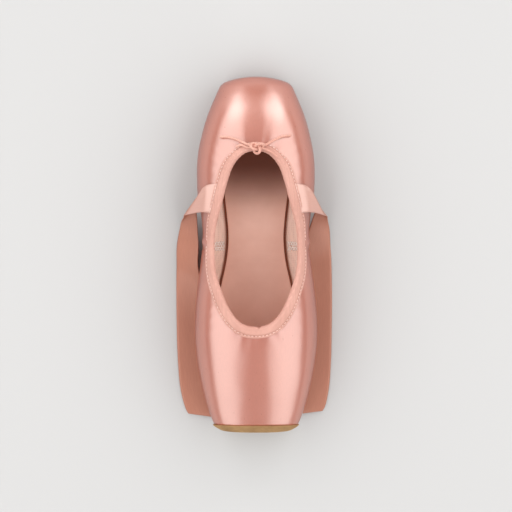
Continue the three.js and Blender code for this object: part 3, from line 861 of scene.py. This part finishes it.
def makeToeTip():
    outset = -(toeTip["clearance"] + toeTip["thickness"])

    def tipDepth(y):
        return outset + plainDepth(y)

    grid = lastGrid(tipDepth, outset, 0.5, 110, 10)
    front = last["toeFace"] + outset
    # rows are slid along the sides so that the last one is the suede's cut edge
    rise = np.clip((grid[12, :, 2] - 16) / 20, 0, 1)
    edge = front + toeTip["depth"] + (toeTip["crownDepth"] - toeTip["depth"]) * rise
    edge = edge + toeTip["edgeWander"] * smoothNoise(grid[12], (0.5, 0.5, 0.5), 4.4)
    source = grid[:, :, 1].mean(axis=1)
    rings = []
    for share in np.linspace(0, 1, toeTip["rows"] + 1) ** 1.6:
        at = front + (edge - front) * share
        across, height = (
            [np.interp(at[j], source, grid[:, j, k]) for j in range(grid.shape[1])] for k in (0, 2))
        rings.append(np.column_stack([across, at, height]))
    rings = np.array(rings)
    points, faces = capped(rings, toeTip["capRings"])
    # only the front cap stays
    behind = (len(rings) + toeTip["capRings"]) * rings.shape[1] + 1
    faces = [f for f in faces if max(f) < behind]
    points, faces = keptFaces(points, faces, np.zeros(len(points), bool))
    tip = makePiece("suede_tip", points, faces, tipSuede)
    thicken(tip, toeTip["thickness"])
    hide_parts("toe_tip")


makeToeTip()

# collar binding
binding = {
    "bandWidth": 3.7,        # how far the tape reaches out over the satin
    "heelNarrow": 0.52,      # share that it loses where the drawstring gathers it at the heel
    "groove": 2.35,          # its stitches sink it this far out
    "rollHigh": 0.95,
    "lipHigh": 0.55,
    "thick": 0.55,
    "insideWidth": 4.6,
    "beadAcross": 1.75,
    "beadHigh": 1.5,
    "notch": 0.9,            # dip at the throat
    "ripple": 0.10,
    "ripplePitch": 3.1,
    "ribbonPlace": 38.5,     # raised a little here, where a ribbon is sewn in under it
    "ribbonReach": 11.0,
    "ribbonRise": 0.55,
}


def overRibbon(y):
    return bell(y, binding["ribbonPlace"], binding["ribbonReach"]) ** 0.5


def offCollar(distance, lift):
    # a ring a distance down the satin from the collar edge, raised by lift
    x, y = outwardPlace(distance)
    return onSatin(x, y, np.broadcast_to(lift, collarCount))


def bindingSections():
    wall = wallAt(collarEdge[:, 1])
    wobble = np.array([noise.noise(Vector((i * 0.33, 2.2, 0.4))) for i in range(collarCount)])
    wave = np.sin(collarRun * 2 * np.pi / binding["ripplePitch"] + 3 * wobble)
    wrinkle = binding["ripple"] * (1 + 2.2 * smoothStep(collarEdge[:, 1], 48, 66)) * (0.6 * wave + wobble)
    notch = binding["notch"] * bell(collarEdge[:, 0], 2.2, 1.3) * (collarEdge[:, 1] < 0)
    narrow = 1 - binding["heelNarrow"] * smoothStep(collarEdge[:, 1], 58, 73)
    raised = binding["ribbonRise"] * overRibbon(collarEdge[:, 1])
    width, groove = binding["bandWidth"], binding["groove"]
    roll, lip = binding["rollHigh"], binding["lipHigh"]
    profile = [
        (width + 0.12, 0.06), (width, lip * 0.7), (width - 0.35, lip), (groove + 0.45, lip * 0.9),
        (groove + 0.25, lip * 0.35), (groove - 0.25, lip * 0.35), (groove - 0.5, lip),
        (groove - 0.9, roll * 0.86), (groove - 1.5, roll), (0.3, roll), (-0.1, roll * 0.98),
    ]
    rings = []
    for place, lift in profile:
        rise = raised * min(1, lift / lip) + wrinkle * max(0.2, 1 - place / width)
        rings.append(offCollar(place * narrow, lift + rise))
    middle = collarEdge + collarInward * (0.3 + binding["beadAcross"]) - collarNormal * (wall / 2)[:, None]
    for turn in np.radians([100, 82, 60, 38, 14, -14, -40, -66, -92, -118]):
        across = binding["beadAcross"] * (1 + wrinkle * 0.25) * math.cos(turn)
        across = across - notch * max(math.cos(turn), 0)
        lifted = (0.5 * roll + wall * 0.12) * max(math.sin(turn), 0)
        high = (binding["beadHigh"] + wrinkle * 0.5) * math.sin(turn) + lifted
        rings.append(middle + collarInward * across[:, None] + collarNormal * high[:, None])
    inner = binding["insideWidth"]
    for share in (0.1, 0.4, 0.7, 0.97):
        rings.append(offCollar(inner * share, -(wall + binding["thick"] + 0.3 * wrinkle)))
    for distance, lift in (
            (inner, -(wall + 0.12)), (inner * 0.5, -(wall + 0.10)), (0.1, -(wall + 0.10)),
            (-0.1, -wall / 2), (0.1, 0.08), (width * 0.5, 0.08)):
        rings.append(offCollar(distance, lift))
    return np.stack(rings, axis=1)


def makeBinding():
    points, faces = closedSweep(bindingSections(), True)
    piece = makePiece("binding_tape", points, faces, bindingCotton)
    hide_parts("collar_binding")


makeBinding()

# stitches
bandStitch = {"pitch": 2.4, "length": 1.6, "thick": 0.5, "fromEdge": 2.35, "heelNarrow": 0.4,
              "lift": 0.52, "ribbonRise": 0.5}
soleStitch = {"pitch": 4.2, "length": 3.2, "thick": 0.5}


def stitchTree():
    # small thread grains along the curve of an edge mesh
    tree = bpy.data.node_groups.new("stitchRow", "GeometryNodeTree")
    tree.interface.new_socket("Geometry", in_out="INPUT", socket_type="NodeSocketGeometry")
    for name in soleStitch:
        tree.interface.new_socket(name, in_out="INPUT", socket_type="NodeSocketFloat")
    tree.interface.new_socket("Material", in_out="INPUT", socket_type="NodeSocketMaterial")
    tree.interface.new_socket("Geometry", in_out="OUTPUT", socket_type="NodeSocketGeometry")
    enter = tree.nodes.new("NodeGroupInput")
    leave = tree.nodes.new("NodeGroupOutput")
    line = addNode(tree, "GeometryNodeMeshToCurve", {"Mesh": enter.outputs["Geometry"]})
    even = addNode(tree, "GeometryNodeResampleCurve", {
        "Curve": line.outputs["Curve"], "Length": enter.outputs["pitch"]}, mode="LENGTH")
    grain = addNode(tree, "GeometryNodeMeshUVSphere", {"Segments": 8, "Rings": 6, "Radius": 0.5})
    size = addNode(tree, "ShaderNodeCombineXYZ", {
        "X": enter.outputs["length"], "Y": enter.outputs["thick"], "Z": enter.outputs["thick"]})
    shaped = addNode(tree, "GeometryNodeTransform", {
        "Geometry": grain.outputs["Mesh"], "Scale": size.outputs["Vector"]})
    heading = addNode(tree, "GeometryNodeInputTangent")
    turned = addNode(
        tree, "FunctionNodeAlignRotationToVector", {"Vector": heading.outputs["Tangent"]}, axis="X")
    placed = addNode(tree, "GeometryNodeInstanceOnPoints", {
        "Points": even.outputs["Curve"], "Instance": shaped.outputs["Geometry"],
        "Rotation": turned.outputs["Rotation"]})
    real = addNode(tree, "GeometryNodeRealizeInstances", {"Geometry": placed.outputs["Instances"]})
    colored = addNode(tree, "GeometryNodeSetMaterial", {
        "Geometry": real.outputs["Geometry"], "Material": enter.outputs["Material"]})
    tree.links.new(colored.outputs["Geometry"], leave.inputs["Geometry"])
    return tree


stitchGroup = stitchTree()


def makeStitches(name, line, material, sizes):
    # a row of stitches round a closed line
    mesh = bpy.data.meshes.new(name)
    edges = [(i, (i + 1) % len(line)) for i in range(len(line))]
    mesh.from_pydata((np.asarray(line) * mm).tolist(), edges, [])
    guide = addObject(name + "_guide", mesh)
    modifier = guide.modifiers.new("stitches", "NODES")
    modifier.node_group = stitchGroup
    for item in stitchGroup.interface.items_tree:
        if item.in_out == "INPUT" and item.name in sizes:
            modifier[item.identifier] = sizes[item.name] * mm
        if item.in_out == "INPUT" and item.name == "Material":
            modifier[item.identifier] = material
    depsgraph = bpy.context.evaluated_depsgraph_get()
    made = bpy.data.meshes.new_from_object(guide.evaluated_get(depsgraph))
    bpy.data.objects.remove(guide)
    ridingPiece(name, made)


bandShare = 1 - bandStitch["heelNarrow"] * smoothStep(collarEdge[:, 1], 58, 73)
bandX, bandY = outwardPlace(bandStitch["fromEdge"] * bandShare)
bandLine = onSatin(bandX, bandY, bandStitch["lift"] + bandStitch["ribbonRise"] * overRibbon(bandY))
makeStitches("binding_stitches", bandLine, threadPink, bandStitch)
print("binding and stitches made")

# bar tacks inside, in the lining by the side seams
barTack = {"place": 4.0, "from": 21.6, "columns": 4, "rows": 2, "pitch": 1.6, "height": 2.8, "gap": 0.5,
           "thick": 0.3, "bow": 0.45}


def liningPlace(x, y):
    # a point on the lower part of the lining's inside
    inset = wallAt(y)
    s = lastSection(y, inset, last["toeFace"] + last["platformWall"], last["heelBack"] - last["heelWall"])
    out = np.clip((np.abs(x) - s["soleHalf"]) / (s["halfWidth"] - s["soleHalf"]), 0, 1)
    rise = (1 - out ** last["sidePower"]) ** (1 / last["sidePower"])
    return np.array([x, y, s["widest"] - (s["widest"] - s["bottom"]) * rise + 0.1])


def joinSweeps(sweeps):
    points, faces, total = [], [], 0
    for part, partFaces in sweeps:
        points.append(part)
        faces += [tuple(i + total for i in f) for f in partFaces]
        total += len(part)
    return np.vstack(points), faces


def tackStroke(side, x, y, slant):
    route = []
    for t in np.linspace(-0.5, 0.5, 5):
        place = liningPlace(side * (x + 2 * slant * t * barTack["pitch"]), y + t * barTack["height"])
        route.append(place + np.array([-side * 0.3, 0, barTack["bow"] * (1 - (2 * t) ** 2)]))
    return closedSweep(tubeSections(route, barTack["thick"], 6), False)


def makeBarTacks():
    strokes = []
    for side in (-1, 1):
        for column in range(barTack["columns"]):
            for row in range(barTack["rows"]):
                x = barTack["from"] + (column + 0.5) * barTack["pitch"]
                y = barTack["place"] + (row - 0.5) * (barTack["height"] + barTack["gap"])
                strokes += [tackStroke(side, x, y, slant) for slant in (-0.5, 0.5)]
    points, faces = joinSweeps(strokes)
    makePiece("bar_tacks", points, faces, threadWhite)


makeBarTacks()

# insole
insole = {"thickness": 2.0, "board": 1.0, "shadowRim": 0.9, "draw": 0.6, "roundEnd": 16.0, "rimRound": 0.4,
          "dish": 0.3}


def plateOutline(halfAt, front, back, count):
    # plan outline of a plate with round ends, from the toe round the +X side
    turns = np.linspace(0, np.pi, 400)
    y = (front + back) / 2 - (back - front) / 2 * np.cos(turns)
    y = np.clip(y, front + 1e-6, back - 1e-6)
    side = np.stack([halfAt(y), y], axis=1)
    loop = np.vstack([side, side[-2:0:-1] * np.array([-1, 1])])
    closed = np.vstack([loop, loop[:1]])
    run = runAlong(closed)
    at = np.linspace(0, run[-1], count, endpoint=False)
    return np.stack([np.interp(at, run, closed[:, k]) for k in range(2)], axis=1)


def offsetOutline(outline, distance):
    ahead = ringDirections(outline)
    inward = np.stack([-ahead[:, 1], ahead[:, 0]], axis=1)
    middle = outline.mean(axis=0)
    if ((middle - outline) * inward).sum() < 0:
        inward = -inward
    return outline + inward * distance


def shrunkOutline(outline, share):
    # the outline drawn in towards the plate's long middle line
    middle = outline.mean(axis=0)
    reach = (outline[:, 1].max() - outline[:, 1].min()) / 2
    half = np.abs(outline[:, 0]).max()
    small = outline.copy()
    small[:, 0] *= share
    small[:, 1] = middle[1] + (outline[:, 1] - middle[1]) * (1 - (1 - share) * half / reach)
    return small


def shellOf(levels):
    # closes a stack of equal plan rings, each given as (plan, heights)
    rings = [np.column_stack([plan, heights]) for plan, heights in levels]
    return closedSweep(np.stack(rings), False)


def makeBoard(name, material, extra, thickness, lift, dish):
    toeEnd = last["toeFace"] + last["platformWall"]
    heelEnd = last["heelBack"] - last["heelWall"]
    front, back = toeEnd + 3, heelEnd - last["heelCorner"]
    turns = np.linspace(0.06, np.pi - 0.06, 170)
    y = (front + back) / 2 - (back - front) / 2 * np.cos(turns)
    soleHalf = lastSection(y, wallAt(y), toeEnd, heelEnd)["soleHalf"]
    half = (soleHalf - insole["draw"]) * roundEnds(y, front, back, insole["roundEnd"]) + extra
    low = upperBase(y) + wallAt(y) + lift
    rim = min(insole["rimRound"], thickness * 0.4)
    rings = []
    for place, reach, under in zip(y, half, low):
        top = under + thickness
        corner = min(rim, reach * 0.4)
        face = [(u * (reach - corner), top - dish * (1 - u * u)) for u in np.linspace(1, -1, 41)]
        right = [(reach, under), (reach, top - corner), (reach - 0.3 * corner, top - 0.3 * corner)]
        left = [(-x, z) for x, z in reversed(right)]
        floorRow = [(u * reach, under) for u in np.linspace(-0.98, 0.98, 9)]
        rings.append([(x, place, z) for x, z in right + face + left + floorRow])
    rings = np.array(rings)
    wave = smoothNoise(rings.reshape(-1, 3), (0.05, 0.03, 0.05), 6.0).reshape(rings.shape[:2])
    rings[:, 3:44, 2] += 0.4 * dish * wave[:, 3:44]
    points, faces = closedSweep(rings, False)
    return makePiece(name, points, faces, material)


def makeInsole():
    base = soleSizes["gap"] * 2
    # the dark board shows as a thin rim round the cloth: painted shadow for the gap along the insole's edge
    cloth = makeBoard(
        "insole_sock", insoleCloth, -insole["shadowRim"],
        insole["thickness"] - insole["board"], base + insole["board"], insole["dish"])
    board = makeBoard("insole_shadow_board", boardShadowLeather, 0.5, insole["board"], base, 0)
    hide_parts("insole")
    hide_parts("insole")


makeInsole()

# outsole
outsole = {"bevel": 0.8, "edgeRound": 0.25, "channelIn": 3.4, "channelWide": 0.9, "channelDeep": 0.45,
           "coreMargin": 5.5, "coreShort": 9.0, "coreEnd": 18.0}


def coreLevels():
    # the raised core that closes the upper underneath
    front = soleSizes["toe"] + outsole["coreShort"]
    back = soleSizes["heel"] - outsole["coreShort"]

    def coreHalf(y):
        return (outsoleFull(y) - outsole["coreMargin"]) * roundEnds(y, front, back, outsole["coreEnd"])

    outline = plateOutline(coreHalf, front, back, 200)
    small = shrunkOutline(outline, 0.1)
    low = [(plan, treadHeight(plan[:, 1]) + soleSizes["thickness"] / 2) for plan in (small, outline)]
    high = [(plan, upperBase(plan[:, 1]) + wallAt(plan[:, 1])) for plan in (outline, small)]
    return low + high


def makeOutsole():
    outline = plateOutline(outsoleHalf, soleSizes["toe"], soleSizes["heel"], 400)
    thick = soleSizes["thickness"]
    bevel = outsole["bevel"]
    near = outsole["channelIn"]
    far = near + outsole["channelWide"]
    # each level: a plan outline and how far above the tread it lies
    levels = [(shrunkOutline(offsetOutline(outline, 5), share), 0) for share in (0.05, 0.3, 0.6, 0.8)]
    for distance, depth in ((far + 0.3, 0), (far, 0.1), (far - 0.25, 1.0),
                            (near + 0.25, 1.0), (near, 0.1), (near - 0.3, 0)):
        levels.append((offsetOutline(outline, distance), depth * outsole["channelDeep"]))
    for turn in np.radians([0, 30, 60, 90]):
        levels.append((offsetOutline(outline, bevel * (1 - math.sin(turn))), bevel * (1 - math.cos(turn))))
    levels.append((outline, thick - outsole["edgeRound"]))
    topPlan = offsetOutline(outline, outsole["edgeRound"])
    levels.append((topPlan, thick))
    levels += [(shrunkOutline(topPlan, share), thick) for share in (0.9, 0.6, 0.3, 0.05)]
    base = shellOf([(plan, treadHeight(plan[:, 1]) + lift) for plan, lift in levels])
    points, faces = joinSweeps([base, shellOf(coreLevels())])
    piece = makePiece("leather_outsole", points, faces, soleLeather)
    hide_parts("outsole")
    channel = offsetOutline(outline, near + outsole["channelWide"] / 2)
    line = np.column_stack([channel, treadHeight(channel[:, 1]) + outsole["channelDeep"] - 0.1])
    makeStitches("sole_stitches", line, threadPink, soleStitch)


makeOutsole()
print("insole and outsole made")

# ribbons
ribbon = {"thickness": 0.5, "width": 0.020, "across": 14, "perRow": 12, "edgeCurl": 0.1, "ripple": 0.35,
          "underLift": 0.4}
# rows from the collar to where the ribbon turns under, each with the edge nearer the heel and the other one
sewnRows = [
    [(27.6, 48.6, 46.6), (29.6, 29.6, 45.0)],
    [(31.6, 47.8, 44.6), (35.0, 29.8, 41.6)],
]
leftRibbonRows = sewnRows + [
    [(35.0, 45.0, 41.6), (46.0, 26.0, 24.0)],      # diagonal fold
    [(39.6, 33.0, 27.0), (48.2, 23.4, 14.0)],
    [(38.8, 22.0, 18.0), (50.4, 18.0, 4.2)],
    [(38.4, 9.0, 15.4), (52.3, 8.0, 2.0)],
    [(38.6, -8.0, 12.6), (53.2, -8.0, 1.7)],
    [(35.6, -26.0, 5.4), (53.4, -26.0, 1.6)],
    [(34.6, -46.0, 2.4), (53.4, -46.0, 1.6)],
    [(33.4, -72.0, 2.0), (52.8, -72.0, 1.6)],
    [(31.2, -96.0, 2.0), (50.8, -95.0, 1.6)],
    [(29.6, -111.4, 1.8), (47.4, -108.0, 1.6)],
    [(29.2, -113.4, 1.1), (45.8, -111.0, 1.0)],    # turn under
]
rightRibbonRows = sewnRows + [
    [(35.0, 45.0, 41.6), (45.0, 26.0, 24.0)],      # diagonal fold
    [(39.4, 33.0, 25.0), (47.2, 23.4, 12.0)],
    [(37.4, 22.0, 13.4), (48.6, 16.0, 3.6)],
    [(33.6, 9.0, 5.4), (49.8, 4.0, 1.8)],
    [(31.2, -8.0, 2.4), (50.6, -10.0, 1.6)],
    [(31.6, -28.0, 1.8), (51.0, -28.0, 1.6)],
    [(31.6, -50.0, 1.8), (51.0, -50.0, 1.6)],
    [(31.2, -74.0, 1.8), (50.6, -74.0, 1.6)],
    [(29.8, -95.0, 1.8), (49.2, -94.0, 1.6)],
    [(28.8, -109.4, 1.8), (46.6, -106.4, 1.6)],
    [(28.4, -111.4, 1.1), (45.0, -109.2, 1.0)],    # turn under
]
leftCutEnd = [(35.4, -22.0, 0.4), (53.4, -22.0, 0.4)]
rightCutEnd = [(31.6, -24.0, 0.4), (51.0, -24.0, 0.4)]


def makeRibbon(name, rows, cutEnd, side, solid):
    # the sewn end runs on under the binding, and past the turn the ribbon lies back below itself
    sewn = [onSatin(24.9, 48.9, 0.4), onSatin(27.6, 29.4, 0.4)]
    back = [[(x, y, ribbon["underLift"]) for x, y, z in row] for row in rows[-2:-6:-1]]
    rows = np.array([sewn, *rows, *back, cutEnd]) * (side, 1, 1)
    heelEdge, toeEdge = (curveSpans(rows[:, edge], ribbon["perRow"]) for edge in (0, 1))
    steps = len(heelEdge)
    share = np.linspace(0, 1, ribbon["across"] + 1)
    flat = heelEdge[:, None] * (1 - share[:, None]) + toeEdge[:, None] * share[:, None]
    face = np.cross(np.gradient(flat, axis=0), np.gradient(flat, axis=1))
    face /= np.maximum(np.linalg.norm(face, axis=2, keepdims=True), 1e-9)
    run = runAlong(flat.mean(axis=1))
    # ripples where it hangs, none where it lies on itself
    hanging = (smoothStep(run, 2, 14) * (1 - smoothStep(run, 70, 100)))[:, None]
    lift = ribbon["ripple"] * hanging * np.sin(run[:, None] * 0.21 + 3.0 * share)
    lift = lift + ribbon["edgeCurl"] * hanging * (2 * share - 1) ** 4
    flat = flat + face * lift[:, :, None]
    half = ribbon["thickness"] / 2
    rings = np.concatenate([flat + face * half, (flat - face * half)[:, ::-1]], axis=1)
    points, faces = closedSweep(rings, False)
    piece = makePiece(name, points, faces, ribbonPink)
    count = rings.shape[1]
    coords = np.zeros((len(points), 2))
    coords[:steps * count, 0] = np.tile(np.concatenate([share, share[::-1]]) * ribbon["width"], steps)
    coords[:steps * count, 1] = np.repeat(run, count) * mm
    coords[steps * count:, 1] = (0, run[-1] * mm)
    corner = np.empty(len(piece.data.loops), int)
    piece.data.loops.foreach_get("vertex_index", corner)
    piece.data.uv_layers.new(name="UVMap").data.foreach_set("uv", coords[corner].ravel())
    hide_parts(solid)


makeRibbon("ribbon_band_left", leftRibbonRows, leftCutEnd, -1, "ribbon_left")
makeRibbon("ribbon_band_right", rightRibbonRows, rightCutEnd, 1, "ribbon_right")

# floor, light and world
studio = {
    "floorSize": 6.0,
    "floor": srgb(198, 197, 196),
    "backdrop": srgb(236, 236, 236),
    "world": 0.17,
    "sideLight": 54.0,
    "sideSize": (6.0, 1.65),
    "sidePlace": (0.99, 0.4, 1.08),
    "heelLight": 14.0,
    "heelSize": (1.6, 1.9),
    "heelPlace": (1.25, 2.3, 0.97),
}


def areaLight(name, place, target, size, power):
    lamp = bpy.data.lights.new(name, "AREA")
    lamp.shape = "RECTANGLE"
    lamp.size, lamp.size_y = size
    lamp.energy = power
    holder = addObject(name, lamp)
    holder.location = place
    holder.rotation_euler = (Vector(target) - Vector(place)).to_track_quat("-Z", "Y").to_euler()


def makeStudio():
    size = studio["floorSize"]
    mesh = bpy.data.meshes.new("floor")
    corners = [(-size, -size, 0), (size, -size, 0), (size, size, 0), (-size, size, 0)]
    mesh.from_pydata(corners, [], [(0, 1, 2, 3)])
    mesh.materials.append(newMaterial("floorFinish", studio["floor"], 0.9)[0])
    floor = addObject("floor", mesh)
    world = bpy.data.worlds.new("studioWorld")
    world.use_nodes = True
    background = world.node_tree.nodes["Background"]
    background.inputs["Color"].default_value = studio["backdrop"]
    background.inputs["Strength"].default_value = studio["world"]
    bpy.context.scene.world = world
    for name, side in (("leftBox", -1), ("rightBox", 1)):
        x, y, z = studio["sidePlace"]
        areaLight(name, (side * x, y, z), (0, y, 0.02), studio["sideSize"], studio["sideLight"])
        x, y, z = studio["heelPlace"]
        areaLight(name + "Heel", (side * x, y, z), (side * x, 0, z), studio["heelSize"], studio["heelLight"])


makeStudio()
bpy.context.scene.view_settings.view_transform = "Standard"
